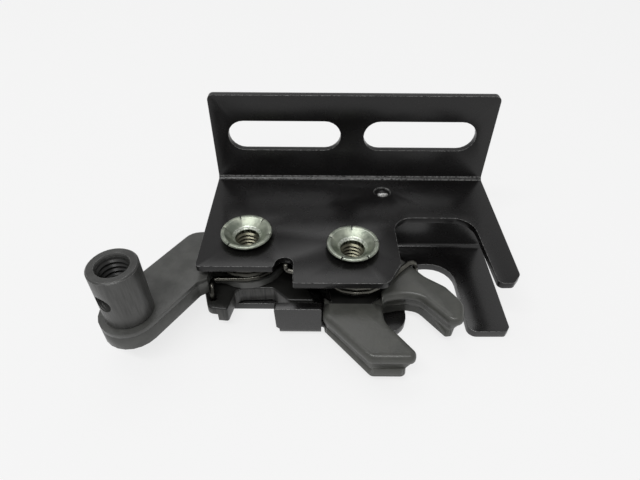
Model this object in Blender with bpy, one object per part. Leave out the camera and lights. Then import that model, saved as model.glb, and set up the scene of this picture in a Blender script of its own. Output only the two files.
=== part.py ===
"""Rotary latch: two stamped plates, a moulded fork rotor, its pawl, and a trip lever with a rod post.

+X runs along the mounting flange, +Y points out of its back face, +Z is up. The origin is on the
flange's back face, between its two slots. Every length below is in millimetres.
"""

import math

import bmesh
import bpy
from mathutils import Matrix, Vector

MM = 0.001
ARC = math.radians(15)

# Clearances
SEAT = 0.15
RUNNING = 0.3

# Plates
SHEET = 1.9
BEND = 1.3
CASE_SHEET = 2.3
HALF_WIDTH = 41.5
SLOT_HEIGHT = 9.6
SLOT_LENGTH = 33.4
SLOT_APART = 40.2
SLOT_ABOVE_PLATE = 15.0
FLANGE_HEIGHT = 27.8
FLANGE_CORNER = 1.6
TOP = -SLOT_ABOVE_PLATE
UNDER_TOP = TOP - SHEET
CASE_BACK = -14.4
REAR_FLANGE_END = -3.6
CLINCH_SPOT = (9.6, -9.2)
CLINCH = 2.5

# Pivots, in plan
LEFT = (-29.4, -30.0)
RIGHT = (-0.6, -34.3)
JOURNAL = 6.3
NECK = 5.1
FLARE = 7.05
FLARE_HEIGHT = 2.0
THREAD = 3.3

# Levels of the moving pieces, from the top face of the top plate
LEVER_TOP = TOP - 4.3
LEVER_THICK = 5.6
WEB_THICK = 2.1
PAWL_THICK = 4.8
PAWL_TOP = LEVER_TOP - LEVER_THICK - RUNNING
FLOOR_GAP = 0.4
FLOOR = PAWL_TOP - PAWL_THICK - FLOOR_GAP
UNDERSIDE = FLOOR - CASE_SHEET
ROTOR_THICK = 7.7
ROTOR_BOTTOM = FLOOR + 0.5
ROTOR_TOP = ROTOR_BOTTOM + ROTOR_THICK
PARTING = ROTOR_BOTTOM + 5.1
SHOULDER = ROTOR_BOTTOM + 2.7
CROWN_ROUND = 1.6
GROOVE = 0.3
CORE_THICK = 4.2

# Springs
WIRE = 1.5
COIL = 9.65
PITCH = 1.65
COIL_TOP = UNDER_TOP - 1.25

# Rotor and pawl
CAM = 13.1
TOOTH_DEPTH = 3.9
NOSE_GAP = 0.35
TAB_LEFT = -21.0
TAB_RIGHT = -8.85
TAB_FACE = -50.2
TAB_TOP = TOP - 6.8
TAB_BEND = 0.5

TAIL_HOLE = (-37.9, -43.4)

# Lever
BOSS = (-56.0, -52.9)
BOSS_RADIUS = 5.9
BOSS_TOP = TOP + 11.4
BOSS_THREAD = 3.45
TENON = 3.4
ARM_END = (-56.0, -53.1)
ARM_HALF = 7.4
ARM_AIM = 58.3
STEP_X = -39.0
CROSS_HOLE = 2.3
CROSS_AIM = -118.0
LUG = (-39.9, -24.0)
LUG_RADIUS = 1.7


def clear_scene():
    for item in list(bpy.data.objects):
        bpy.data.objects.remove(item, do_unlink=True)


def material(name, colour, metallic, roughness):
    made = bpy.data.materials.new(name)
    made.use_nodes = True
    shader = made.node_tree.nodes["Principled BSDF"]
    shader.inputs["Base Color"].default_value = (*colour, 1.0)
    shader.inputs["Metallic"].default_value = metallic
    shader.inputs["Roughness"].default_value = roughness
    return made


# Shapes in plan and in section


def polar(centre, radius, degrees):
    angle = math.radians(degrees)
    return (centre[0] + radius * math.cos(angle), centre[1] + radius * math.sin(angle))


def arc(centre, radius, start, end):
    """Points of an arc about centre, both ends included, angles in degrees."""
    count = max(2, math.ceil(abs(math.radians(end - start)) / ARC) + 1)
    return [polar(centre, radius, start + (end - start) * i / (count - 1)) for i in range(count)]


def rounded(corners):
    """The outline through (x, y, radius) corners, each turned into an arc of its radius."""
    points = []
    for index, (x, y, radius) in enumerate(corners):
        here = Vector((x, y))
        before = Vector(corners[index - 1][:2]) - here
        after = Vector(corners[(index + 1) % len(corners)][:2]) - here
        if radius <= 0:
            points.append((x, y))
            continue
        before.normalize()
        after.normalize()
        half = before.angle(after) / 2
        middle = here + (before + after).normalized() * radius / math.sin(half)
        first = here + before * radius / math.tan(half) - middle
        last = here + after * radius / math.tan(half) - middle
        start = math.atan2(first.y, first.x)
        turn = math.atan2(last.y, last.x) - start
        turn = (turn + math.pi) % (2 * math.pi) - math.pi
        steps = max(1, math.ceil(abs(turn) / ARC))
        for step in range(steps + 1):
            angle = start + turn * step / steps
            points.append((middle.x + radius * math.cos(angle), middle.y + radius * math.sin(angle)))
    return points


def sharp(points):
    """Outline points as corners that stay sharp."""
    return [(x, y, 0) for x, y in points]


def inset(outline, distance):
    """The outline moved inwards, corner by corner; it runs counter-clockwise."""
    moved = []
    count = len(outline)
    for index in range(count):
        before = Vector(outline[index]) - Vector(outline[index - 1])
        after = Vector(outline[(index + 1) % count]) - Vector(outline[index])
        normal = (Vector((-before.y, before.x)).normalized() + Vector((-after.y, after.x)).normalized())
        normal.normalize()
        stretch = normal.dot(Vector((-before.y, before.x)).normalized())
        spot = Vector(outline[index]) + normal * distance / max(stretch, 0.5)
        moved.append((spot.x, spot.y))
    return moved


# Solids


def solid(name, faces_of, surface=None, smooth=False):
    """An object from bmesh work, in metres."""
    mesh = bmesh.new()
    faces_of(mesh)
    bmesh.ops.remove_doubles(mesh, verts=mesh.verts, dist=1e-4)
    bmesh.ops.recalc_face_normals(mesh, faces=mesh.faces)
    bmesh.ops.scale(mesh, vec=(MM, MM, MM), verts=mesh.verts)
    data = bpy.data.meshes.new(name)
    mesh.to_mesh(data)
    mesh.free()
    if smooth:
        data.polygons.foreach_set("use_smooth", [True] * len(data.polygons))
    item = bpy.data.objects.new(name, data)
    bpy.context.scene.collection.objects.link(item)
    if surface:
        data.materials.append(surface)
    return item


def lofted(mesh, rings):
    """Joins closed rings of equal count and caps both ends."""
    rows = [[mesh.verts.new(point) for point in ring] for ring in rings]
    for low, high in zip(rows, rows[1:]):
        for index in range(len(low)):
            after = (index + 1) % len(low)
            mesh.faces.new((low[index], low[after], high[after], high[index]))
    mesh.faces.new(rows[0][::-1])
    mesh.faces.new(rows[-1])


def prism(name, outline, low, high, surface=None):
    rings = [[(x, y, z) for x, y in outline] for z in (low, high)]
    return solid(name, lambda mesh: lofted(mesh, rings), surface)


def strip(name, section, left, right, surface=None):
    """A (y, z) section swept along X, as sheet metal bent across its width."""
    rings = [[(x, y, z) for y, z in section] for x in (left, right)]
    return solid(name, lambda mesh: lofted(mesh, rings), surface)


def turned(name, profile, centre, surface=None, steps=36):
    """A closed (radius, z) profile turned about a vertical axis through centre."""

    def build(mesh):
        verts = [mesh.verts.new((radius, 0, z)) for radius, z in profile]
        edges = [mesh.edges.new((verts[i - 1], verts[i])) for i in range(len(verts))]
        bmesh.ops.spin(
            mesh, geom=verts + edges, cent=(0, 0, 0), axis=(0, 0, 1),
            angle=2 * math.pi, steps=steps, use_merge=True, use_duplicate=False,
        )
        bmesh.ops.remove_doubles(mesh, verts=mesh.verts, dist=1e-3)
        bmesh.ops.translate(mesh, vec=(centre[0], centre[1], 0), verts=mesh.verts)

    return solid(name, build, surface, smooth=True)


def rod(name, path, radius, surface=None, sides=8):
    """Round wire along a path of points."""

    def build(mesh):
        rings = []
        spots = [Vector(point) for point in path]
        side = (spots[1] - spots[0]).orthogonal()
        for index, spot in enumerate(spots):
            ahead = spots[min(index + 1, len(spots) - 1)] - spots[max(index - 1, 0)]
            ahead.normalize()
            side = (side - ahead * side.dot(ahead)).normalized()
            across = ahead.cross(side)
            rings.append([
                spot + radius * (side * math.cos(turn) + across * math.sin(turn))
                for turn in (2 * math.pi * i / sides for i in range(sides))
            ])
        lofted(mesh, rings)

    return solid(name, build, surface, smooth=True)


def helper(item):
    item.hide_render = True
    item.display_type = "WIRE"
    return item


def boolean(item, other, operation):
    step = item.modifiers.new(operation.lower(), "BOOLEAN")
    step.operation = operation
    step.solver = "EXACT"
    step.object = helper(other)


def cylinder(name, centre, radius, low, high, sides=32):
    outline = [polar(centre, radius, 360 * i / sides) for i in range(sides)]
    return prism(name, outline, low, high)


def on_axis(item, centre, height):
    """Moves the object's origin onto its joint's axis without moving its shape."""
    spot = Vector((centre[0] * MM, centre[1] * MM, height * MM))
    item.data.transform(Matrix.Translation(-spot))
    item.location = spot


# Stamped plates


def bent(run, corner, thick, inner):
    """Section of sheet that runs along +Y at z 0 to corner, then turns up to height run[1]."""
    start, height = run
    outer = inner + thick
    middle = (corner - outer, outer)
    outside = arc(middle, outer, -90, 0)
    inside = arc(middle, inner, 0, -90)
    return [(start, 0), *outside, (corner, height), (corner - thick, height), *inside, (start, thick)]


def top_plate(surface):
    section = [(y, z + UNDER_TOP) for y, z in bent((-60, FLANGE_HEIGHT + SHEET), 0, SHEET, BEND)]
    plate = strip("top_plate", section, -HALF_WIDTH, HALF_WIDTH, surface)
    plan = rounded([
        (-HALF_WIDTH, -41.8, 1.0),
        (-21.4, -41.8, 0.4),
        (-20.6, -38.3, 2.4),
        (-16.3, -38.3, 2.2),
        (-16.1, -47.4, 0.5),
        (7.9, -47.4, 3.0),
        (11.8, -40.2, 1.0),
        (11.5, -21.6, 5.5),
        (HALF_WIDTH - 7.3, -21.6, 6.0),
        (HALF_WIDTH - 6.1, -47.0, 1.4),
        (HALF_WIDTH - 2.3, -46.9, 1.4),
        (HALF_WIDTH, -44.0, 1.8),
        (HALF_WIDTH, 5, 0),
        (-HALF_WIDTH, 5, 0),
    ])
    boolean(plate, prism("top_plan", plan, UNDERSIDE, TOP + 40), "INTERSECT")
    high = TOP + FLANGE_HEIGHT
    front = rounded([
        (-HALF_WIDTH - 1, UNDERSIDE, 0),
        (HALF_WIDTH + 1, UNDERSIDE, 0),
        (HALF_WIDTH + 1, TOP + 1, 0),
        (HALF_WIDTH, TOP + 2, 0),
        (HALF_WIDTH, high, FLANGE_CORNER),
        (-HALF_WIDTH, high, FLANGE_CORNER),
        (-HALF_WIDTH, TOP + 2, 0),
        (-HALF_WIDTH - 1, TOP + 1, 0),
    ])
    rings = [[(x, y, z) for x, z in front] for y in (-70, 5)]
    boolean(plate, solid("flange_shape", lambda mesh: lofted(mesh, rings)), "INTERSECT")
    reach = (SLOT_LENGTH - SLOT_HEIGHT) / 2
    for side in (-1, 1):
        middle = side * SLOT_APART / 2
        slot = arc((middle + reach, 0), SLOT_HEIGHT / 2, -90, 90)
        slot += arc((middle - reach, 0), SLOT_HEIGHT / 2, 90, 270)
        ends = [[(x, y, z) for x, z in slot] for y in (-SHEET - 2, 2)]
        boolean(plate, solid("slot", lambda mesh: lofted(mesh, ends)), "DIFFERENCE")
    for pivot in (LEFT, RIGHT):
        hole = cylinder("plate_hole", pivot, NECK + SEAT, UNDER_TOP - 2, TOP + 2)
        boolean(plate, hole, "DIFFERENCE")
    root = TOP - 0.35
    groove = [(CLINCH - 0.7, root), (CLINCH, root), (CLINCH + 0.3, TOP + 1), (CLINCH - 1, TOP + 1)]
    boolean(plate, turned("clinch_groove", groove, CLINCH_SPOT, steps=24), "DIFFERENCE")
    return plate


def bottom_plate(surface):
    turn = BEND + CASE_SHEET
    wall = CASE_BACK
    ceiling = UNDER_TOP - SEAT
    foot = (wall - turn, UNDERSIDE + turn)
    head = (wall - CASE_SHEET + turn, ceiling - turn)
    section = [(-60, UNDERSIDE)]
    section += arc(foot, turn, -90, 0)
    section += arc(head, BEND, 180, 90)
    section += [(REAR_FLANGE_END, ceiling - CASE_SHEET), (REAR_FLANGE_END, ceiling)]
    section += arc(head, turn, 90, 180)
    section += arc(foot, BEND, 0, -90)
    section += [(-60, FLOOR)]
    plate = strip("bottom_plate", section, -HALF_WIDTH, HALF_WIDTH, surface)
    plan = rounded([
        (-38.6, -41.0, 4.5),
        (TAB_LEFT + 0.6, -41.0, 0.8),
        (TAB_LEFT + 1.1, TAB_FACE + 3.0, 0),
        (TAB_RIGHT + 0.7, TAB_FACE + 3.0, 0.6),
        (TAB_RIGHT + 1.0, TAB_FACE + 1.0, 0.6),
        (0.0, -50.6, 3.0),
        (14.2, -50.6, 6.0),
        (14.2, -25.0, 7.8),
        (HALF_WIDTH - 11.1, -25.0, 7.0),
        (HALF_WIDTH - 11.1, -50.2, 2.4),
        (HALF_WIDTH - 1.2, -50.1, 1.0),
        (HALF_WIDTH, -48.6, 0.8),
        (HALF_WIDTH, 5, 0),
        (-38.6, 5, 0),
    ])
    boolean(plate, prism("bottom_plan", plan, UNDERSIDE - 5, TOP + 5), "INTERSECT")
    boolean(plate, stop_tab(), "UNION")
    for pivot in (LEFT, RIGHT):
        hole = cylinder("floor_hole", pivot, NECK + SEAT, UNDERSIDE - 2, FLOOR + 2)
        boolean(plate, hole, "DIFFERENCE")
    return plate


def stop_tab():
    """The lug folded up at the front edge, which both the rotor and the pawl come to rest against."""
    high = TAB_TOP - UNDERSIDE
    section = [(-y, z) for y, z in bent((42.0, high), -TAB_FACE, CASE_SHEET, TAB_BEND)]
    section = [(y, z + UNDERSIDE) for y, z in section]
    tab = strip("tab_bend", section, TAB_LEFT - 1, TAB_RIGHT + 1)
    shape = rounded([
        (TAB_LEFT + 1.1, UNDERSIDE - 1, 0),
        (TAB_RIGHT, UNDERSIDE - 1, 0),
        (TAB_RIGHT, TAB_TOP, 0.6),
        (TAB_LEFT, TAB_TOP, 0.6),
        (TAB_LEFT + 0.3, FLOOR + 1.4, 0),
        (TAB_LEFT + 1.1, FLOOR + 0.7, 0),
    ])
    rings = [[(x, y, z) for x, z in shape] for y in (-60, -30)]
    boolean(tab, solid("tab_shape", lambda mesh: lofted(mesh, rings)), "INTERSECT")
    return tab


# Pivot bushings


def bushing(name, pivot, splits, surface):
    """Steel sleeve between the plates, staked under, with a flare on top that is split at these angles."""
    rim = TOP + FLARE_HEIGHT
    low = UNDERSIDE + 0.05
    profile = [
        (THREAD, low + 0.6),
        (THREAD + 0.6, low),
        (NECK, low),
        (NECK, FLOOR + SEAT),
        (JOURNAL, FLOOR + SEAT),
        (JOURNAL, UNDER_TOP - SEAT),
        (NECK, UNDER_TOP - SEAT),
        (NECK, TOP + 0.2),
        (NECK + 0.7, TOP + SEAT),
        (FLARE - 0.15, rim - 0.75),
        (FLARE, rim - 0.35),
        (FLARE - 0.3, rim),
        (FLARE - 1.0, rim - 0.05),
        (THREAD + 0.75, TOP + 0.35),
        (THREAD, TOP - 0.4),
    ]
    sleeve = turned(name, profile, pivot, surface)
    for angle in splits:
        mid = polar(pivot, FLARE, angle)
        across = Vector((-math.sin(math.radians(angle)), math.cos(math.radians(angle)))) * 0.3
        along = Vector((math.cos(math.radians(angle)), math.sin(math.radians(angle))))
        inner = Vector(mid) - along * 1.5
        outer = Vector(mid) + along
        wedge = [outer + across, inner + across * 0.3, inner - across * 0.3, outer - across]
        split = prism("split", [tuple(spot) for spot in wedge], TOP + 0.7, rim + 1)
        boolean(sleeve, split, "DIFFERENCE")
    return sleeve


# Torsion springs


def eased(path, radius):
    """The path with each sharp corner replaced by a short curve."""
    spots = [Vector(point) for point in path]
    result = [spots[0]]
    for before, here, after in zip(spots, spots[1:], spots[2:]):
        back = before - here
        ahead = after - here
        if back.angle(ahead) > math.radians(155):
            result.append(here)
            continue
        first = here + back.normalized() * min(radius, back.length * 0.45)
        last = here + ahead.normalized() * min(radius, ahead.length * 0.45)
        for share in (0.0, 0.25, 0.5, 0.75, 1.0):
            result.append(first.lerp(here, share).lerp(here.lerp(last, share), share))
    result.append(spots[-1])
    return result


def coil(centre, start, end, drop):
    """Close-wound turns between two angles, from COIL_TOP downwards."""
    count = max(3, round(abs(end - start) / 20))
    points = []
    for index in range(count + 1):
        share = index / count
        x, y = polar(centre, COIL, start + (end - start) * share)
        points.append((x, y, COIL_TOP - drop * share))
    return points


def rotor_spring(surface):
    """The free leg hooks down behind the rotor's hook arm, so the spring turns the rotor open."""
    centre = (RIGHT[0] + 0.8, RIGHT[1] - 0.8)
    turns = coil(centre, -109, 668, PITCH * 777 / 360)
    low = turns[-1][2]
    anchor = [(-18.3, -39.8, TOP - 1.0), (-18.3, -39.8, COIL_TOP)]
    leg = [
        (10.0, -39.8, low + 0.4),
        (12.2, -37.0, low + 0.5),
        (15.2, -34.0, low + 0.5),
        (17.0, -33.3, low + 0.3),
        (17.8, -33.5, low - 3.2),
    ]
    return rod("rotor_spring", eased(anchor + turns + leg, 1.6), WIRE / 2, surface)


def pawl_spring(surface):
    """The free leg ends in a hole in the pawl's tail, so the spring presses the nose into the rotor."""
    turns = coil(LEFT, 720, -90, PITCH * 810 / 360)
    low = turns[-1][2]
    anchor = [(LEFT[0] + COIL, CASE_BACK - CASE_SHEET - SEAT - 0.4, COIL_TOP)]
    leg = [
        (STEP_X + 0.95, turns[-1][1] - 0.2, low),
        (STEP_X + 0.9, TAIL_HOLE[1] + 1.6, low - 0.2),
        (TAIL_HOLE[0], TAIL_HOLE[1], PAWL_TOP + WIRE),
        (TAIL_HOLE[0], TAIL_HOLE[1], PAWL_TOP - 3.0),
    ]
    return rod("pawl_spring", eased(anchor + turns + leg, 1.2), WIRE / 2, surface)


# Rotor


def jacket_outline():
    """Counter-clockwise outline of the fork's upper half in the open position."""
    return rounded([
        (-8.45, -40.0, 0),
        (-8.45, -51.8, 2.2),
        (2.6, -64.3, 2.2),
        (13.3, -64.3, 1.75),
        (13.9, -62.0, 1.75),
        (7.0, -52.7, 5.0),
        (7.0, -45.6, 2.4),
        (13.2, -44.0, 6.0),
        (17.5, -44.9, 4.0),
        (23.6, -52.9, 2.0),
        (27.0, -52.9, 2.4),
        (28.5, -47.0, 4.0),
        (24.6, -40.9, 3.5),
        (19.6, -37.2, 4.0),
        (14.4, -30.8, 3.0),
        (6.0, -27.5, 0),
    ])


def foot_outline():
    """The lower half's outline, drawn back from both arm tips."""
    return rounded([
        (-7.9, -40.0, 0),
        (-7.9, -51.2, 2.2),
        (3.2, -64.4, 1.6),
        (11.5, -64.4, 1.5),
        (12.2, -60.7, 1.0),
        (6.5, -52.9, 5.0),
        (6.5, -45.2, 2.6),
        (13.2, -43.6, 6.0),
        (17.3, -44.4, 4.0),
        (23.4, -52.5, 0.7),
        (25.0, -52.3, 0.8),
        (27.8, -47.0, 4.0),
        (24.2, -41.2, 3.5),
        (19.2, -37.6, 4.0),
        (13.9, -31.0, 3.0),
        (6.0, -27.9, 0),
    ])


def stacked(name, outline, levels, surface=None):
    """A solid through copies of an outline, each at a height and moved inwards by a depth."""
    rings = [[(x, y, z) for x, y in inset(outline, depth)] for z, depth in levels]
    return solid(name, lambda mesh: lofted(mesh, rings), surface)


def rotor_cover(surface):
    """Moulded jacket over both arms: crowned half above the parting line, foot below it."""
    wall_top = ROTOR_TOP - CROWN_ROUND
    crown = [(PARTING, GROOVE), (PARTING + GROOVE, 0.0), (wall_top, 0.0)]
    for degrees in (18, 36, 54, 72, 90):
        angle = math.radians(degrees)
        crown.append((wall_top + CROWN_ROUND * math.sin(angle), CROWN_ROUND * (1 - math.cos(angle))))
    band = [(SHOULDER, GROOVE), (SHOULDER + GROOVE, GROOVE / 2), (PARTING + GROOVE, GROOVE + 0.1)]
    foot = [(ROTOR_BOTTOM, GROOVE), (ROTOR_BOTTOM + GROOVE, 0.0), (SHOULDER + GROOVE, GROOVE)]
    cover = stacked("rotor_cover", jacket_outline(), crown, surface)
    boolean(cover, stacked("cover_band", jacket_outline(), band), "UNION")
    boolean(cover, stacked("cover_foot", foot_outline(), foot), "UNION")
    hub = cylinder("cover_hub", RIGHT, CAM - 1.1, ROTOR_BOTTOM - 1, ROTOR_TOP + 1, sides=40)
    boolean(cover, hub, "DIFFERENCE")
    boolean(cover, core_plate("core_room", SEAT), "DIFFERENCE")
    return cover


def core_plate(name, more=0.0, surface=None):
    """The steel plate of the rotor: hub, one ratchet tooth, and a tongue inside each moulded arm."""
    middle = (PARTING + ROTOR_BOTTOM) / 2 + 0.4
    root = CAM - TOOTH_DEPTH
    shape = arc(RIGHT, CAM - 1.5, 60, 118)
    shape += arc(RIGHT, root, 134, 170)
    shape += arc(RIGHT, CAM, 170.5, 184)
    shape += arc(RIGHT, root, 193, 228)
    shape += [
        (-5.9, -46.5),
        (-5.2, -50.5),
        (3.4, -61.2),
        (10.0, -61.2),
        (4.3, -54.4),
        (3.2, -46.6),
        (10.0, -40.0),
        (16.4, -40.8),
        (23.2, -49.8),
        (25.0, -46.8),
        (19.6, -41.4),
        (12.6, -34.6),
    ]
    if more:
        shape = inset(shape, -more)
    return prism(name, shape, middle - CORE_THICK / 2 - more, middle + CORE_THICK / 2 + more, surface)


def rotor_core(surface):
    core = core_plate("rotor_core", 0.0, surface)
    collar = cylinder("core_collar", RIGHT, 7.4, PARTING - 2.0, UNDER_TOP - RUNNING)
    boolean(core, collar, "UNION")
    bore = cylinder("core_bore", RIGHT, JOURNAL + RUNNING, ROTOR_BOTTOM - 2, TOP)
    boolean(core, bore, "DIFFERENCE")
    return core


# Pawl


def pawl(surface):
    """Strut from the left pivot to the rotor's tooth, with a tail for hand or cable release."""
    gap = CAM + NOSE_GAP
    outline = rounded([
        (-40.4, -33.0, 4.0),
        (-40.5, -41.4, 3.0),
        (-38.8, -46.9, 2.0),
        (-33.7, -47.5, 0.6),
        (-32.5, -41.4, 1.4),
        (-30.6, -40.1, 1.4),
        (-22.3, -39.7, 2.0),
        (-17.8, -44.2, 2.0),
        (-10.6, -44.2, 0.5),
        (*polar(RIGHT, gap + 0.3, 219), 0),
        *sharp(arc(RIGHT, gap, 215, 200)),
        (-15.6, -37.0, 1.5),
        (-19.6, -31.0, 3.0),
        (-21.4, -20.6, 8.0),
        (-35.6, -19.4, 3.0),
        (-42.6, -19.8, 3.6),
        (-43.2, -27.2, 3.6),
    ])
    body = prism("pawl", outline, PAWL_TOP - PAWL_THICK, PAWL_TOP, surface)
    boolean(body, cylinder("pawl_bore", LEFT, JOURNAL + RUNNING, UNDERSIDE, TOP), "DIFFERENCE")
    tail_hole = cylinder("tail_hole", TAIL_HOLE, WIRE / 2 + RUNNING, UNDERSIDE, TOP, sides=16)
    boolean(body, tail_hole, "DIFFERENCE")
    side = TAIL_HOLE[0] + 1.5
    below = [(side, -60), (side, -45.2), (side - 2.2, -43.0), (-45, -43.0), (-45, -60)]
    relief = prism("tail_relief", below, UNDERSIDE, PAWL_TOP - PAWL_THICK / 2)
    boolean(body, relief, "DIFFERENCE")
    lug_hole = cylinder("lug_hole", LUG, LUG_RADIUS + RUNNING, UNDERSIDE, TOP, sides=20)
    boolean(body, lug_hole, "DIFFERENCE")
    return body


# Trip lever


def lever_arm(surface):
    """Thick arm that steps down to a thin hub web under the spring; a lug below drives the pawl."""
    back = polar(ARM_END, ARM_HALF, ARM_AIM + 90)
    front = polar(ARM_END, ARM_HALF, ARM_AIM - 90)
    outline = rounded([
        *sharp(arc(ARM_END, ARM_HALF, ARM_AIM + 90, ARM_AIM + 270)),
        (*polar(front, 4, ARM_AIM), 0),
        (-41.2, -43.1, 1.6),
        (STEP_X, -41.7, 0.5),
        (STEP_X, -38.6, 0.8),
        (-36.4, -38.5, 0.6),
        *sharp(arc(LEFT, COIL + 0.75, 236, 452)),
        (-31.0, -19.4, 0.6),
        (-35.0, -20.0, 3.0),
        (-40.6, -23.2, 4.0),
        (-46.6, -23.8, 4.5),
        (*polar(back, 20, ARM_AIM), 0),
    ])
    low = LEVER_TOP - LEVER_THICK
    arm = prism("lever_arm", outline, low, LEVER_TOP, surface)
    web = low + WEB_THICK
    room = prism("hub_room", [(STEP_X, -60), (0, -60), (0, 0), (STEP_X, 0)], web, TOP)
    boolean(arm, room, "DIFFERENCE")
    boolean(arm, cylinder("coil_room", LEFT, COIL + 1.15, web, TOP, sides=40), "DIFFERENCE")
    collar = cylinder("lever_collar", LEFT, 8.3, low + 0.5, UNDER_TOP - RUNNING)
    boolean(arm, collar, "UNION")
    lug = cylinder("lever_lug", LUG, LUG_RADIUS, PAWL_TOP - PAWL_THICK + 0.8, low + 1, sides=20)
    boolean(arm, lug, "UNION")
    boolean(arm, cylinder("lever_bore", LEFT, JOURNAL + RUNNING, UNDERSIDE, TOP), "DIFFERENCE")
    boolean(arm, cylinder("tenon_hole", BOSS, TENON + SEAT, low - 1, TOP), "DIFFERENCE")
    return arm


def lever_boss(surface):
    """Turned post riveted through the arm: threaded from above, cross-drilled for the rod."""
    low = LEVER_TOP - LEVER_THICK
    seat = LEVER_TOP + SEAT
    profile = [
        (0, low + 0.2),
        (TENON, low + 0.2),
        (TENON, seat),
        (BOSS_RADIUS - 0.2, seat),
        (BOSS_RADIUS, seat + 0.3),
        (BOSS_RADIUS, BOSS_TOP - 0.35),
        (BOSS_RADIUS - 0.35, BOSS_TOP),
        (BOSS_THREAD + 0.55, BOSS_TOP),
        (BOSS_THREAD, BOSS_TOP - 0.9),
        (BOSS_THREAD, LEVER_TOP + 2.2),
        (0, LEVER_TOP + 1.2),
    ]
    post = turned("lever_boss", profile, BOSS, surface, steps=40)
    angle = math.radians(CROSS_AIM)
    level = TOP + 3.7
    side = Vector((-math.sin(angle), math.cos(angle), 0))
    aim = Vector((math.cos(angle), math.sin(angle), 0))
    middle = Vector((*BOSS, level))
    rings = []
    for reach in (-BOSS_RADIUS - 2, BOSS_RADIUS + 2):
        ring = []
        for index in range(24):
            turn = 2 * math.pi * index / 24
            around = side * math.cos(turn) + Vector((0, 0, math.sin(turn)))
            ring.append(middle + aim * reach + CROSS_HOLE * around)
        rings.append(ring)
    boolean(post, solid("cross_hole", lambda mesh: lofted(mesh, rings)), "DIFFERENCE")
    return post


clear_scene()
black = material("black_coat", (0.012, 0.012, 0.013), 0.2, 0.42)
dark = material("dark_coat", (0.035, 0.035, 0.033), 0.4, 0.5)
zinc = material("zinc", (0.72, 0.72, 0.66), 1.0, 0.3)
wire = material("spring_wire", (0.5, 0.5, 0.47), 1.0, 0.35)
nylon = material("black_nylon", (0.03, 0.03, 0.03), 0.0, 0.5)

top_plate(black)
bottom_plate(black)
bushing("bushing_left", LEFT, (50, 112, 169, 232, 350), zinc)
bushing("bushing_right", RIGHT, (6, 90, 160, 243, 304), zinc)
for piece in (rotor_core(dark), rotor_cover(nylon), rotor_spring(wire)):
    on_axis(piece, RIGHT, ROTOR_BOTTOM)
for piece in (pawl(dark), pawl_spring(wire), lever_arm(dark), lever_boss(dark)):
    on_axis(piece, LEFT, FLOOR)
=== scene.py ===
import math

import bmesh
import bpy
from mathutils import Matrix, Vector
from mathutils.geometry import intersect_point_line


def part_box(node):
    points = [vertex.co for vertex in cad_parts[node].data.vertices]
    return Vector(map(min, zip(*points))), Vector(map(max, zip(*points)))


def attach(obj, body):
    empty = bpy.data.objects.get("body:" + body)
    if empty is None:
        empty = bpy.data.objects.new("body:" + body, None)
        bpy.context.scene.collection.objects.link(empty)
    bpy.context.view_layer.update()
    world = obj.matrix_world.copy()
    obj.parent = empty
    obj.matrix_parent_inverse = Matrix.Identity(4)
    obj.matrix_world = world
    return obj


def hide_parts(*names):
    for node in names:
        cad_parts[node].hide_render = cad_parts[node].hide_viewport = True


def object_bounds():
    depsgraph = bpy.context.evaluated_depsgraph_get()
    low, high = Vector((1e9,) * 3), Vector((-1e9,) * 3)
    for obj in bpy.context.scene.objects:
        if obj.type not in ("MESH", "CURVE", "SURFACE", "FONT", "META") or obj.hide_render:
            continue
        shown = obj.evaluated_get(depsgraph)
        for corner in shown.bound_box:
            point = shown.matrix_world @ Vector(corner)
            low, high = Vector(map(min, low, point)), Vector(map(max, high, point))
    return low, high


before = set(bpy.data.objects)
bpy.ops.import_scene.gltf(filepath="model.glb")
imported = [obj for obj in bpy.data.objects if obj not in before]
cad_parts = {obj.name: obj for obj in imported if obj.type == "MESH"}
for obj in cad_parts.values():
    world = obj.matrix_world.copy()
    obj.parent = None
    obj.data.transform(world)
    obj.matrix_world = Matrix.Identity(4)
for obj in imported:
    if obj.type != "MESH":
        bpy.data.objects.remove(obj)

cad_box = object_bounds()
mm = 0.001

# The camera stands low and close in front of the latch and looks down on it at 42 degrees, so the
# perspective is strong.
camera_data = bpy.data.cameras.new("camera")
camera_data.sensor_width = 36.0
camera_data.lens = 27.19
camera_data.clip_start = 0.005
camera = bpy.data.objects.new("camera", camera_data)
bpy.context.scene.collection.objects.link(camera)
camera.location = (-9.157 * mm, -129.3 * mm, 73.35 * mm)
camera.rotation_euler = (math.radians(47.943), math.radians(-0.238), math.radians(0.326))
bpy.context.scene.camera = camera

# The stage: a white paper table under the case that keeps a faint shadow, a wide soft box above and
# behind, a long narrow key lamp above and in front, and an even pale room.
table_level = cad_box[0][2]
table_half, table_shift = 2.5, 0.8
paper_white, paper_glow, paper_mirrored = 0.95, 0.80, 0.5
room_white, room_mirrored = 0.38, 0.2


def new_material(name, colour, metallic=0.0, roughness=0.5):
    """A material with one plain shader, for the node links to come."""
    made = bpy.data.materials.new(name)
    made.use_nodes = True
    shader = made.node_tree.nodes["Principled BSDF"]
    shader.inputs["Base Color"].default_value = (*colour, 1.0)
    shader.inputs["Metallic"].default_value = metallic
    shader.inputs["Roughness"].default_value = roughness
    return made


def object_of(name, mesh, material, smooth_below=None):
    """An object from finished bmesh work; edges sharper than smooth_below degrees stay crisp."""
    data = bpy.data.meshes.new(name)
    mesh.to_mesh(data)
    mesh.free()
    data.materials.append(material)
    if smooth_below is not None:
        data.polygons.foreach_set("use_smooth", [True] * len(data.polygons))
        data.set_sharp_from_angle(angle=math.radians(smooth_below))
    made = bpy.data.objects.new(name, data)
    bpy.context.scene.collection.objects.link(made)
    return made


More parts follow.
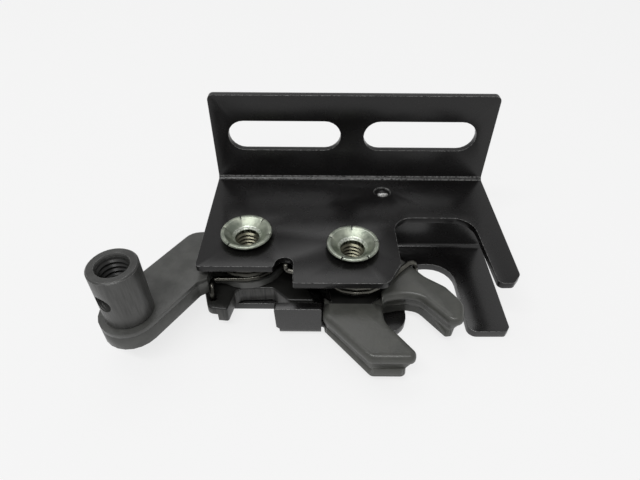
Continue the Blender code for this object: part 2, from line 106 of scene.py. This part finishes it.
def seen_or_mirrored(tree, mirrored):
    """1 for a ray straight from the camera, the given share for a mirrored one, else 0."""
    path = tree.nodes.new("ShaderNodeLightPath")
    gloss = tree.nodes.new("ShaderNodeMath")
    gloss.operation = "MULTIPLY"
    gloss.inputs[1].default_value = mirrored
    tree.links.new(path.outputs["Is Glossy Ray"], gloss.inputs[0])
    either = tree.nodes.new("ShaderNodeMath")
    either.operation = "MAXIMUM"
    tree.links.new(path.outputs["Is Camera Ray"], either.inputs[0])
    tree.links.new(gloss.outputs[0], either.inputs[1])
    return either.outputs[0]


def paper_table():
    """White paper: matt where it bounces light, and nearly self-white where it is looked at."""
    made = new_material("table_paper", (0.9, 0.9, 0.9), roughness=0.9)
    tree = made.node_tree
    shader = tree.nodes["Principled BSDF"]
    shader.inputs["Specular IOR Level"].default_value = 0.0
    glow = tree.nodes.new("ShaderNodeEmission")
    glow.inputs["Color"].default_value = (1.0, 1.0, 1.0, 1.0)
    glow.inputs["Strength"].default_value = paper_white
    share = tree.nodes.new("ShaderNodeMath")
    share.operation = "MULTIPLY"
    share.inputs[1].default_value = paper_glow
    tree.links.new(seen_or_mirrored(tree, paper_mirrored), share.inputs[0])
    mix = tree.nodes.new("ShaderNodeMixShader")
    tree.links.new(share.outputs[0], mix.inputs["Fac"])
    tree.links.new(shader.outputs[0], mix.inputs[1])
    tree.links.new(glow.outputs[0], mix.inputs[2])
    tree.links.new(mix.outputs[0], tree.nodes["Material Output"].inputs["Surface"])
    return made


table_mesh = bmesh.new()
bmesh.ops.create_grid(table_mesh, x_segments=1, y_segments=1, size=table_half)
bmesh.ops.translate(table_mesh, verts=table_mesh.verts, vec=(0, table_shift, table_level))
object_of("table", table_mesh, paper_table())


def soft_box(name, place, size, power):
    """A rectangular lamp aimed at the latch."""
    data = bpy.data.lights.new(name, "AREA")
    data.shape = "RECTANGLE"
    data.size, data.size_y = size
    data.energy = power
    lamp = bpy.data.objects.new(name, data)
    lamp.location = place
    lamp.rotation_euler = (-Vector(place)).to_track_quat("-Z", "Y").to_euler()
    bpy.context.scene.collection.objects.link(lamp)


soft_box("back_box", place=(-0.20, 0.45, 0.95), size=(0.90, 0.35), power=1.5)
soft_box("key_lamp", place=(-0.15, -0.42, 0.85), size=(0.90, 0.09), power=4.4)

room = bpy.data.worlds.new("room")
room.use_nodes = True
room_tree = room.node_tree
room_light = room_tree.nodes["Background"]
room_light.inputs["Color"].default_value = (1.0, 1.0, 1.0, 1.0)
room_level = room_tree.nodes.new("ShaderNodeMapRange")
room_level.inputs["To Min"].default_value = room_white
room_level.inputs["To Max"].default_value = paper_white
room_tree.links.new(seen_or_mirrored(room_tree, room_mirrored), room_level.inputs["Value"])
room_tree.links.new(room_level.outputs["Result"], room_light.inputs["Strength"])
bpy.context.scene.world = room
bpy.context.scene.view_settings.view_transform = "Standard"

# The two stamped plates: cold rolled sheet, blanked, folded and clinched, then dipped in black
# paint that dries smooth on the faces and thin on the edges; the edges are painted lighter for that
# and as painted highlight. A few specks of dust lie on them. The two flared sleeves hold them
# together as well.


def group_of(name, inputs, outputs):
    """An empty shader node group with these float or vector inputs and float outputs."""
    group = bpy.data.node_groups.new(name, "ShaderNodeTree")
    for label, value in inputs:
        kind = "NodeSocketVector" if isinstance(value, tuple) else "NodeSocketFloat"
        socket = group.interface.new_socket(label, in_out="INPUT", socket_type=kind)
        socket.default_value = value
    for label in outputs:
        group.interface.new_socket(label, in_out="OUTPUT", socket_type="NodeSocketFloat")
    return group, group.nodes.new("NodeGroupInput"), group.nodes.new("NodeGroupOutput")


def spaced(group, entry, label, vector, texture):
    """Feeds a texture with a place and a scale, so that the named size is its spacing in metres."""
    scale = group.nodes.new("ShaderNodeMath")
    scale.operation = "DIVIDE"
    scale.inputs[0].default_value = 1.0
    group.links.new(entry.outputs[label], scale.inputs[1])
    group.links.new(vector, texture.inputs["Vector"])
    group.links.new(scale.outputs[0], texture.inputs["Scale"])


def fine_grain():
    """Node group: a fine pebbled height, slow uneven patches, and small specks."""
    sizes = (
        ("Grain Size", 0.0004), ("Patch Size", 0.006),
        ("Speck Size", 0.0025), ("Speck Share", 0.05),
    )
    group, entry, leave = group_of("fine_grain", sizes, ("Height", "Patches", "Specks"))
    nodes, links = group.nodes, group.links
    place = nodes.new("ShaderNodeTexCoord").outputs["Object"]
    grain = nodes.new("ShaderNodeTexNoise")
    grain.inputs["Detail"].default_value = 4.0
    grain.inputs["Roughness"].default_value = 0.6
    spaced(group, entry, "Grain Size", place, grain)
    links.new(grain.outputs["Fac"], leave.inputs["Height"])
    patch = nodes.new("ShaderNodeTexNoise")
    patch.inputs["Detail"].default_value = 3.0
    spaced(group, entry, "Patch Size", place, patch)
    links.new(patch.outputs["Fac"], leave.inputs["Patches"])
    speck = nodes.new("ShaderNodeTexVoronoi")
    spaced(group, entry, "Speck Size", place, speck)
    small = nodes.new("ShaderNodeMath")
    small.operation = "LESS_THAN"
    links.new(speck.outputs["Distance"], small.inputs[0])
    links.new(entry.outputs["Speck Share"], small.inputs[1])
    links.new(small.outputs[0], leave.inputs["Specks"])
    return group


def upright_lines():
    """Node group: long fine lines that run up a wall, as a shear or a brush leaves them."""
    group, entry, leave = group_of("upright_lines", (("Line Width", 0.0002),), ("Height",))
    nodes, links = group.nodes, group.links
    squeeze = nodes.new("ShaderNodeMapping")
    squeeze.inputs["Scale"].default_value = (1.0, 1.0, 0.08)
    links.new(nodes.new("ShaderNodeTexCoord").outputs["Object"], squeeze.inputs["Vector"])
    lines = nodes.new("ShaderNodeTexNoise")
    lines.inputs["Detail"].default_value = 3.0
    spaced(group, entry, "Line Width", squeeze.outputs["Vector"], lines)
    links.new(lines.outputs["Fac"], leave.inputs["Height"])
    return group


grain_group = fine_grain()
line_group = upright_lines()


def placed_group(tree, group, **values):
    """A node group in a material; Grain_Size=0.1 sets the socket called Grain Size."""
    node = tree.nodes.new("ShaderNodeGroup")
    node.node_tree = group
    for name, value in values.items():
        node.inputs[name.replace("_", " ")].default_value = value
    return node


def ranged(tree, source, low, high):
    """Maps a noise's middle range onto low to high."""
    step = tree.nodes.new("ShaderNodeMapRange")
    step.inputs["From Min"].default_value = 0.35
    step.inputs["From Max"].default_value = 0.65
    step.inputs["To Min"].default_value = low
    step.inputs["To Max"].default_value = high
    tree.links.new(source, step.inputs["Value"])
    return step.outputs["Result"]


def product(tree, first, second):
    """Two masks multiplied."""
    step = tree.nodes.new("ShaderNodeMath")
    step.operation = "MULTIPLY"
    tree.links.new(first, step.inputs[0])
    tree.links.new(second, step.inputs[1])
    return step.outputs[0]


def blended(tree, share, first, second):
    """A colour between first and second; each is a colour or another node's output."""
    mix = tree.nodes.new("ShaderNodeMix")
    mix.data_type = "RGBA"
    tree.links.new(share, mix.inputs["Factor"])
    for socket, value in ((mix.inputs[6], first), (mix.inputs[7], second)):
        if isinstance(value, tuple):
            socket.default_value = (*value, 1.0)
        else:
            tree.links.new(value, socket)
    return mix.outputs[2]


def marked(tree, name):
    """The mask that the named mesh attribute holds."""
    node = tree.nodes.new("ShaderNodeAttribute")
    node.attribute_name = name
    return node.outputs["Fac"]


def relief_of(tree, height, strength, distance, under=None):
    """A Bump node over an optional other one."""
    bump = tree.nodes.new("ShaderNodeBump")
    bump.inputs["Strength"].default_value = strength
    bump.inputs["Distance"].default_value = distance
    tree.links.new(height, bump.inputs["Height"])
    if under is not None:
        tree.links.new(under, bump.inputs["Normal"])
    return bump.outputs["Normal"]


def surface(
    name, dark, light, gloss, grain, grain_size, patch_size=0.006, edge_rub_and_highlight=None, sheared_or_bore_shade=None,
    speck=None, speck_share=0.0, metallic=0.0, shine=0.5,
):
    """One finish: uneven colour and gloss, grain, dust, and marked faces: edges painted lighter for
    rubbing and as painted highlight, torn walls, or a bore's painted shade.
    """
    made = new_material(name, dark, metallic, gloss[0])
    tree = made.node_tree
    shader = tree.nodes["Principled BSDF"]
    shader.inputs["Specular IOR Level"].default_value = shine
    texture = placed_group(
        tree, grain_group, Grain_Size=grain_size, Patch_Size=patch_size, Speck_Size=0.0024,
        Speck_Share=speck_share,
    )
    patches = ranged(tree, texture.outputs["Patches"], 0.0, 1.0)
    colour = blended(tree, patches, dark, light)
    rough = ranged(tree, texture.outputs["Patches"], *gloss)
    normal = relief_of(tree, texture.outputs["Height"], grain, 0.0001)
    if speck is not None:
        colour = blended(tree, texture.outputs["Specks"], colour, speck)
    if sheared_or_bore_shade is not None:
        lines = placed_group(tree, line_group, Line_Width=0.0005)
        cut = marked(tree, "sheared_or_bore_shade")
        torn = product(tree, cut, ranged(tree, lines.outputs["Height"], 0.0, 1.0))
        colour = blended(tree, torn, colour, sheared_or_bore_shade)
        normal = relief_of(tree, product(tree, cut, lines.outputs["Height"]), 0.5, 0.00015, normal)
    if edge_rub_and_highlight is not None:
        uneven = ranged(tree, texture.outputs["Height"], 0.0, 1.0)
        colour = blended(tree, product(tree, marked(tree, "edge"), uneven), colour, edge_rub_and_highlight)
    tree.links.new(colour, shader.inputs["Base Color"])
    tree.links.new(rough, shader.inputs["Roughness"])
    tree.links.new(normal, shader.inputs["Normal"])
    return made


def merged_copy(node):
    """The CAD node's shape with its doubles merged."""
    mesh = bmesh.new()
    mesh.from_mesh(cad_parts[node].data)
    bmesh.ops.remove_doubles(mesh, verts=mesh.verts, dist=2e-6)
    return mesh


def flattened(mesh):
    """The same mesh with each flat area made one face."""
    bmesh.ops.dissolve_limit(
        mesh, angle_limit=math.radians(0.5), verts=mesh.verts, edges=mesh.edges,
        use_dissolve_boundaries=False,
    )
    return mesh


def break_edges(mesh, width, sharper_than=30, segments=2):
    """Rounds every edge sharper than an angle, and marks the narrow new faces as edges to paint
    lighter, for rubbing and as painted highlight.
    """
    sharp = math.radians(sharper_than)
    edges = [e for e in mesh.edges if len(e.link_faces) == 2 and e.calc_face_angle(0) > sharp]
    layer = mesh.faces.layers.float.new("edge")
    result = bmesh.ops.bevel(
        mesh, geom=edges, offset=width, offset_type="OFFSET", segments=segments, profile=0.5,
        affect="EDGES", clamp_overlap=True, material=-1,
    )
    for face in result["faces"]:
        face[layer] = 1.0


def mark_sheared(mesh):
    """Marks the upright walls, which the press cut through."""
    mesh.normal_update()
    layer = mesh.faces.layers.float.new("sheared_or_bore_shade")
    for face in mesh.faces:
        face[layer] = 1.0 if abs(face.normal.z) < 0.35 else 0.0


def finished(node, body, mesh, material, smooth_below=28):
    """A reworked copy of a CAD node, shown in its place."""
    bmesh.ops.triangulate(mesh, faces=[f for f in mesh.faces if len(f.verts) > 4])
    piece = object_of(node + "_finished", mesh, material, smooth_below)
    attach(piece, body)
    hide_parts(node)


paint = {"dark": (0.0046, 0.0042, 0.0043), "light": (0.0056, 0.0052, 0.0053), "gloss": (0.25, 0.29)}
plate_black, lower_black = (
    surface(
        name, **paint, grain=0.03, grain_size=0.0007, edge_rub_and_highlight=(0.24, 0.24, 0.235),
        speck=(0.08, 0.08, 0.08), speck_share=0.02, shine=shine,
    )
    for name, shine in (("plate_black", 0.45), ("lower_black", 0.85))
)


def carved(mesh, cutter):
    """The mesh less the cutter's shape."""
    body = object_of("carve_body", mesh, plate_black)
    tool = object_of("carve_tool", cutter, plate_black)
    cut = body.modifiers.new("cut", "BOOLEAN")
    cut.operation = "DIFFERENCE"
    cut.solver = "EXACT"
    cut.object = tool
    result = bmesh.new()
    result.from_object(body, bpy.context.evaluated_depsgraph_get())
    for scrap in (body, tool):
        bpy.data.objects.remove(scrap)
    bmesh.ops.remove_doubles(result, verts=result.verts, dist=1e-6)
    return result


# The flange's inner bend is painted lighter too, as a painted highlight, most of all at the
# bend's two sides.
sheet_edge = 0.16 * mm
upper_mesh = flattened(merged_copy("top_plate"))
break_edges(upper_mesh, sheet_edge, segments=3)
upper_mesh.normal_update()
bend_highlight = upper_mesh.faces.layers.float["edge"]
for face in upper_mesh.faces:
    middle = face.calc_center_median()
    slope = min(-face.normal.y, face.normal.z)
    if slope > 0.15 and middle.y > -8 * mm and -16 * mm < middle.z < -9 * mm:
        face[bend_highlight] = 1.0 if slope < 0.5 else 0.25
finished("top_plate", "case", upper_mesh, plate_black)

# The clinch that joins the two sheets stands up from its pit in the upper plate as a low round
# button, with a painted highlight on its front faces.
plate_top = -15.0 * mm
button_half = (2.0 * mm, 1.9 * mm, 1.25 * mm)
button_place = (9.6 * mm, -9.3 * mm, plate_top - 0.5 * mm)
button_mesh = bmesh.new()
bmesh.ops.create_uvsphere(button_mesh, u_segments=32, v_segments=16, radius=1.0)
bmesh.ops.scale(button_mesh, verts=button_mesh.verts, vec=button_half)
bmesh.ops.translate(button_mesh, verts=button_mesh.verts, vec=button_place)
button_mesh.normal_update()
button_highlight = button_mesh.faces.layers.float.new("edge")
for face in button_mesh.faces:
    face[button_highlight] = 1.0 if face.normal.y < -0.45 else 0.0
highlit_black = surface(
    "highlit_black", **paint, grain=0.3, grain_size=0.0005, edge_rub_and_highlight=(0.75, 0.75, 0.73)
)
button = object_of("clinch_button", button_mesh, highlit_black, 60)
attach(button, "case")

# The lower plate's stop tab is folded up at the front with a wide outer bend, here carved from the
# tighter bend of the solid.
tab_face, tab_foot, tab_bend, bend_steps = -50.2 * mm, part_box("bottom_plate")[0].z, 1.9 * mm, 6
cut_left, cut_width = -22.5 * mm, 14.5 * mm
corner_mesh = bmesh.new()
outline = [
    (tab_face - mm, tab_foot + tab_bend), (tab_face - mm, tab_foot - mm),
    (tab_face + tab_bend, tab_foot - mm),
]
for step in range(bend_steps + 1):
    turn = math.radians(90 - 90 / bend_steps * step)
    outline.append((
        tab_face + tab_bend - tab_bend * math.cos(turn),
        tab_foot + tab_bend - tab_bend * math.sin(turn),
    ))
corner_face = corner_mesh.faces.new([corner_mesh.verts.new((cut_left, y, z)) for y, z in outline])
pulled = bmesh.ops.extrude_face_region(corner_mesh, geom=[corner_face])
moved = [item for item in pulled["geom"] if isinstance(item, bmesh.types.BMVert)]
bmesh.ops.translate(corner_mesh, verts=moved, vec=(cut_width, 0, 0))
bmesh.ops.recalc_face_normals(corner_mesh, faces=corner_mesh.faces)
lower_mesh = flattened(carved(merged_copy("bottom_plate"), corner_mesh))
break_edges(lower_mesh, sheet_edge, segments=3)
finished("bottom_plate", "case", lower_mesh, lower_black)

# The two pivot sleeves: free-cutting steel, turned, tapped and zinc plated, with the top flared
# over the plate so that its rim has split. The thread is a ridge wound up the bore.


def turning_marks():
    """Node group: fine rings round an upright axis, as a lathe tool leaves them."""
    settings = (("Axis", (0.0, 0.0, 0.0)), ("Ring Width", 0.0002))
    group, entry, leave = group_of("turning_marks", settings, ("Height",))
    nodes, links = group.nodes, group.links
    offset = nodes.new("ShaderNodeVectorMath")
    offset.operation = "SUBTRACT"
    links.new(nodes.new("ShaderNodeTexCoord").outputs["Object"], offset.inputs[0])
    links.new(entry.outputs["Axis"], offset.inputs[1])
    flat = nodes.new("ShaderNodeVectorMath")
    flat.operation = "MULTIPLY"
    flat.inputs[1].default_value = (1.0, 1.0, 0.0)
    links.new(offset.outputs["Vector"], flat.inputs[0])
    radius = nodes.new("ShaderNodeVectorMath")
    radius.operation = "LENGTH"
    links.new(flat.outputs["Vector"], radius.inputs[0])
    step = nodes.new("ShaderNodeMath")
    step.operation = "DIVIDE"
    links.new(radius.outputs["Value"], step.inputs[0])
    links.new(entry.outputs["Ring Width"], step.inputs[1])
    rings = nodes.new("ShaderNodeTexNoise")
    rings.noise_dimensions = "1D"
    rings.inputs["Scale"].default_value = 1.0
    rings.inputs["Detail"].default_value = 2.0
    links.new(step.outputs[0], rings.inputs["W"])
    links.new(rings.outputs["Fac"], leave.inputs["Height"])
    return group


turning_group = turning_marks()


def turned_finish(material, axis, ring_width, height):
    """Adds lathe rings round an axis to the grain of a finish."""
    tree = material.node_tree
    rings = placed_group(tree, turning_group, Axis=(*axis, 0.0), Ring_Width=ring_width)
    shaded = tree.nodes["Principled BSDF"].inputs["Normal"]
    normal = relief_of(tree, rings.outputs["Height"], 1.0, height, shaded.links[0].from_socket)
    tree.links.new(normal, shaded)


def thread_ridge(name, body, axis, crest, root, pitch, bottom, top, material):
    """A female thread: one tooth wound up the bore, let into its wall and closed at both ends."""
    steps = 48
    turns = (top - bottom) / pitch - 1.0
    low = bottom + pitch / 2
    tooth = ((root, -0.42), (crest, -0.08), (crest, 0.08), (root, 0.42))
    mesh = bmesh.new()
    start = mesh.faces.new([
        mesh.verts.new((axis[0] + radius, axis[1], low + rise * pitch)) for radius, rise in tooth
    ])
    bmesh.ops.spin(
        mesh, geom=[start, *start.edges, *start.verts], cent=(*axis, 0), axis=(0, 0, 1),
        dvec=(0, 0, pitch / steps), angle=math.tau * turns, steps=round(steps * turns),
        use_duplicate=False,
    )
    bmesh.ops.recalc_face_normals(mesh, faces=mesh.faces)
    piece = object_of(name, mesh, material, 35)
    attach(piece, body)


# The sleeves' thread ridges are painted dark, as painted shade deep in the bores.
shaded_bore_zinc = surface(
    "shaded_bore_zinc", dark=(0.07, 0.07, 0.05), light=(0.16, 0.155, 0.115), gloss=(0.25, 0.40), grain=0.2,
    grain_size=0.0005, metallic=1.0,
)
sleeves = {"bushing_left": (-29.4 * mm, -30.0 * mm), "bushing_right": (-0.6 * mm, -34.3 * mm)}
bore_wall, mouth_rim, mouth_depth = 3.4 * mm, 4.1 * mm, 0.5 * mm
for sleeve, axis in sleeves.items():
    zinc_plate = surface(
        "zinc_" + sleeve, dark=(0.24, 0.27, 0.22), light=(0.42, 0.45, 0.37), gloss=(0.34, 0.46),
        grain=0.28, grain_size=0.0005, patch_size=0.0022, edge_rub_and_highlight=(0.74, 0.77, 0.70),
        sheared_or_bore_shade=(0.05, 0.05, 0.035), metallic=1.0,
    )
    turned_finish(zinc_plate, axis, ring_width=0.00025, height=0.00003)
    sleeve_mesh = flattened(merged_copy(sleeve))
    break_edges(sleeve_mesh, 0.08 * mm)
    # Faces inside the bore are painted darker, as painted shade.
    bore_shade_layer = sleeve_mesh.faces.layers.float.new("sheared_or_bore_shade")
    edge_layer = sleeve_mesh.faces.layers.float["edge"]
    for face in sleeve_mesh.faces:
        middle = face.calc_center_median()
        radius = (middle.xy - Vector(axis)).length
        face[bore_shade_layer] = 1.0 if radius < bore_wall else 0.0
        # The mouth's chamfer ring, like the rounded edges, is painted light as a painted highlight.
        if bore_wall < radius < mouth_rim and middle.z > plate_top - mouth_depth:
            face[edge_layer] = 1.0
    finished(sleeve, "case", sleeve_mesh, zinc_plate, 30)
    low_end, high_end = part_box(sleeve)
    thread_ridge(
        sleeve + "_thread", "case", axis, crest=2.75 * mm, root=3.35 * mm, pitch=1.27 * mm,
        bottom=low_end.z + 0.6 * mm, top=high_end.z - 2.5 * mm, material=shaded_bore_zinc,
    )

# The two springs: round plated wire, wound close and slipped over the sleeves, with bent legs that
# hook on the plates, the rotor and the pawl. The rotor's spring is painted 2.2 times lighter, as a
# painted highlight for its free leg, which catches the light.
wire_dark, wire_light = Vector((0.035, 0.034, 0.030)), Vector((0.080, 0.078, 0.068))
springs = (("rotor_spring", "rotor", 2.2), ("pawl_spring", "pawl", 1.0))
for spring, spring_body, lit_scale in springs:
    spring_steel = surface(
        spring + "_steel", dark=tuple(lit_scale * wire_dark), light=tuple(lit_scale * wire_light),
        gloss=(0.20, 0.30), grain=0.08, grain_size=0.0003, metallic=1.0,
    )
    finished(spring, spring_body, merged_copy(spring), spring_steel, 50)

# The rotor: a blanked steel core with a nylon jacket moulded over both arms. The jacket has a
# crowned upper half, a parting groove, and a foot whose wall slopes in to it.
# Its marked edges are painted lighter, for rubbing and as painted highlight.
dark_steel = surface(
    "dark_steel", dark=(0.009, 0.009, 0.008), light=(0.014, 0.014, 0.013), gloss=(0.27, 0.36),
    grain=0.15, grain_size=0.0005, edge_rub_and_highlight=(0.16, 0.16, 0.155), sheared_or_bore_shade=(0.050, 0.049, 0.046),
)
core_mesh = flattened(merged_copy("rotor_core"))
break_edges(core_mesh, 0.15 * mm)
mark_sheared(core_mesh)
finished("rotor_core", "rotor", core_mesh, dark_steel)

satin_nylon = surface(
    "satin_nylon", dark=(0.060, 0.061, 0.055), light=(0.076, 0.077, 0.069), gloss=(0.28, 0.36),
    grain=0.45, grain_size=0.0007, patch_size=0.003,
)


def taper_shoulder(mesh, ledge, above):
    """Draws the wall over a ledge in towards its foot, so that the ledge becomes a slope."""
    close, reach, ledge_draw, above_draw = 0.01 * mm, 2.6 * mm, 0.9, 0.78
    ring = [vert for vert in mesh.verts if abs(vert.co.z - ledge) < close]
    foot = {
        vert for vert in ring
        if any(edge.other_vert(vert).co.z < ledge - close for edge in vert.link_edges)
    }
    rim = [
        [corner.co.copy() for corner in edge.verts] for edge in mesh.edges
        if all(corner in foot for corner in edge.verts)
    ]
    drawn = [(vert, ledge_draw) for vert in ring if vert not in foot]
    drawn += [(vert, above_draw) for vert in mesh.verts if abs(vert.co.z - above) < close]
    for vert, draw in drawn:
        spot = Vector((vert.co.x, vert.co.y, ledge))
        near = []
        for start, end in rim:
            share = intersect_point_line(spot, start, end)[1]
            near.append(start.lerp(end, min(1.0, max(0.0, share))))
        closest = min(near, key=lambda place: (place - spot).length)
        if (closest - spot).length < reach:
            vert.co.xy = vert.co.xy.lerp(closest.xy, draw)


# Under the plates the jacket stops short of the hub in a straight step.
rotor_low, rotor_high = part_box("rotor_cover")
cover_mesh = merged_copy("rotor_cover")
taper_shoulder(cover_mesh, ledge=rotor_low.z + 2.7 * mm, above=rotor_low.z + 3.0 * mm)
step_size, step_place = (15.8 * mm, 8.0 * mm, 5.3 * mm), (-0.9 * mm, -43.8 * mm, rotor_high.z)
step_mesh = bmesh.new()
bmesh.ops.create_cube(step_mesh, size=1.0)
bmesh.ops.scale(step_mesh, verts=step_mesh.verts, vec=step_size)
bmesh.ops.translate(step_mesh, verts=step_mesh.verts, vec=step_place)
cover_mesh = carved(cover_mesh, step_mesh)
finished("rotor_cover", "rotor", cover_mesh, satin_nylon, 32)

# The pawl: thick blanked steel with a rolled top edge and torn walls, phosphated dark and oiled. It
# turns on the left sleeve.
die_roll = 0.9 * mm
pawl_mesh = flattened(merged_copy("pawl"))
pawl_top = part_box("pawl")[1].z
top_edges = [
    edge for edge in pawl_mesh.edges
    if len(edge.link_faces) == 2 and edge.calc_face_angle(0) > math.radians(50)
    and all(corner.co.z > pawl_top - 0.05 * mm for corner in edge.verts)
]
bmesh.ops.bevel(
    pawl_mesh, geom=top_edges, offset=die_roll, offset_type="OFFSET", segments=5, profile=0.5,
    affect="EDGES", clamp_overlap=True, material=-1,
)
break_edges(pawl_mesh, 0.15 * mm, sharper_than=40)
mark_sheared(pawl_mesh)
finished("pawl", "pawl", pawl_mesh, dark_steel)

# The trip lever's arm: a cast steel arm with a fine skin, round edges and a thin seam along its
# wall. It turns on the left sleeve over the pawl.
# Its marked edges are painted a little lighter, for rubbing and as painted highlight.
arm_steel = surface(
    "arm_steel", dark=(0.060, 0.061, 0.057), light=(0.080, 0.081, 0.076), gloss=(0.28, 0.36),
    grain=0.45, grain_size=0.0006, patch_size=0.003, edge_rub_and_highlight=(0.085, 0.085, 0.08),
)


def seam_round(mesh, level, width, depth):
    """A shallow groove all round the upright walls at one level."""
    cut = bmesh.ops.bisect_plane(
        mesh, geom=[*mesh.verts, *mesh.edges, *mesh.faces], dist=1e-7,
        plane_co=(0, 0, level), plane_no=(0, 0, 1),
    )
    line = [item for item in cut["geom_cut"] if isinstance(item, bmesh.types.BMEdge)]
    bmesh.ops.bevel(
        mesh, geom=line, offset=width / 2, offset_type="OFFSET", segments=2, profile=0.5,
        affect="EDGES", clamp_overlap=True, material=-1,
    )
    mesh.normal_update()
    for vert in mesh.verts:
        if abs(vert.co.z - level) < 1e-6:
            vert.co -= vert.normal * depth


arm_mesh = flattened(merged_copy("lever_arm"))
break_edges(arm_mesh, 0.35 * mm, segments=3)
seam_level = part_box("lever_arm")[1].z - 3.45 * mm
seam_round(arm_mesh, seam_level, width=0.16 * mm, depth=0.1 * mm)
finished("lever_arm", "lever", arm_mesh, arm_steel)

# The lever's post: a turned steel boss, tapped for the rod, cross-drilled, and riveted into the
# arm. Its bore is opened to the root of the thread.
boss_axis = (-56.0 * mm, -52.9 * mm)
# The boss's marked edges, its mouth's chamfer ring among them, are painted light, for rubbing and
# as painted highlight.
boss_steel = surface(
    "boss_steel", dark=(0.050, 0.050, 0.048), light=(0.078, 0.078, 0.075), gloss=(0.30, 0.38),
    grain=0.35, grain_size=0.0005, edge_rub_and_highlight=(0.42, 0.42, 0.41), sheared_or_bore_shade=(0.085, 0.085, 0.082),
    metallic=0.3,
)
turned_finish(boss_steel, boss_axis, ring_width=0.0005, height=0.0002)


def widen_bore(mesh, axis, bore, root):
    """Moves the plain bore's wall out to the root of its thread."""
    for vert in mesh.verts:
        offset = vert.co.xy - Vector(axis)
        if offset.length < bore + 0.02 * mm:
            vert.co.xy = Vector(axis) + offset.normalized() * root


boss_mesh = flattened(merged_copy("lever_boss"))
widen_bore(boss_mesh, boss_axis, bore=3.45 * mm, root=3.75 * mm)
break_edges(boss_mesh, 0.15 * mm, segments=3)
mark_sheared(boss_mesh)
finished("lever_boss", "lever", boss_mesh, boss_steel)
boss_low, boss_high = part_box("lever_boss")
# The thread takes the darker steel, as painted shade deep in the bore.
thread_ridge(
    "rod_thread", "lever", boss_axis, crest=3.3 * mm, root=3.8 * mm, pitch=1.41 * mm,
    bottom=boss_low.z + 0.8 * mm, top=boss_high.z - 0.6 * mm, material=dark_steel,
)
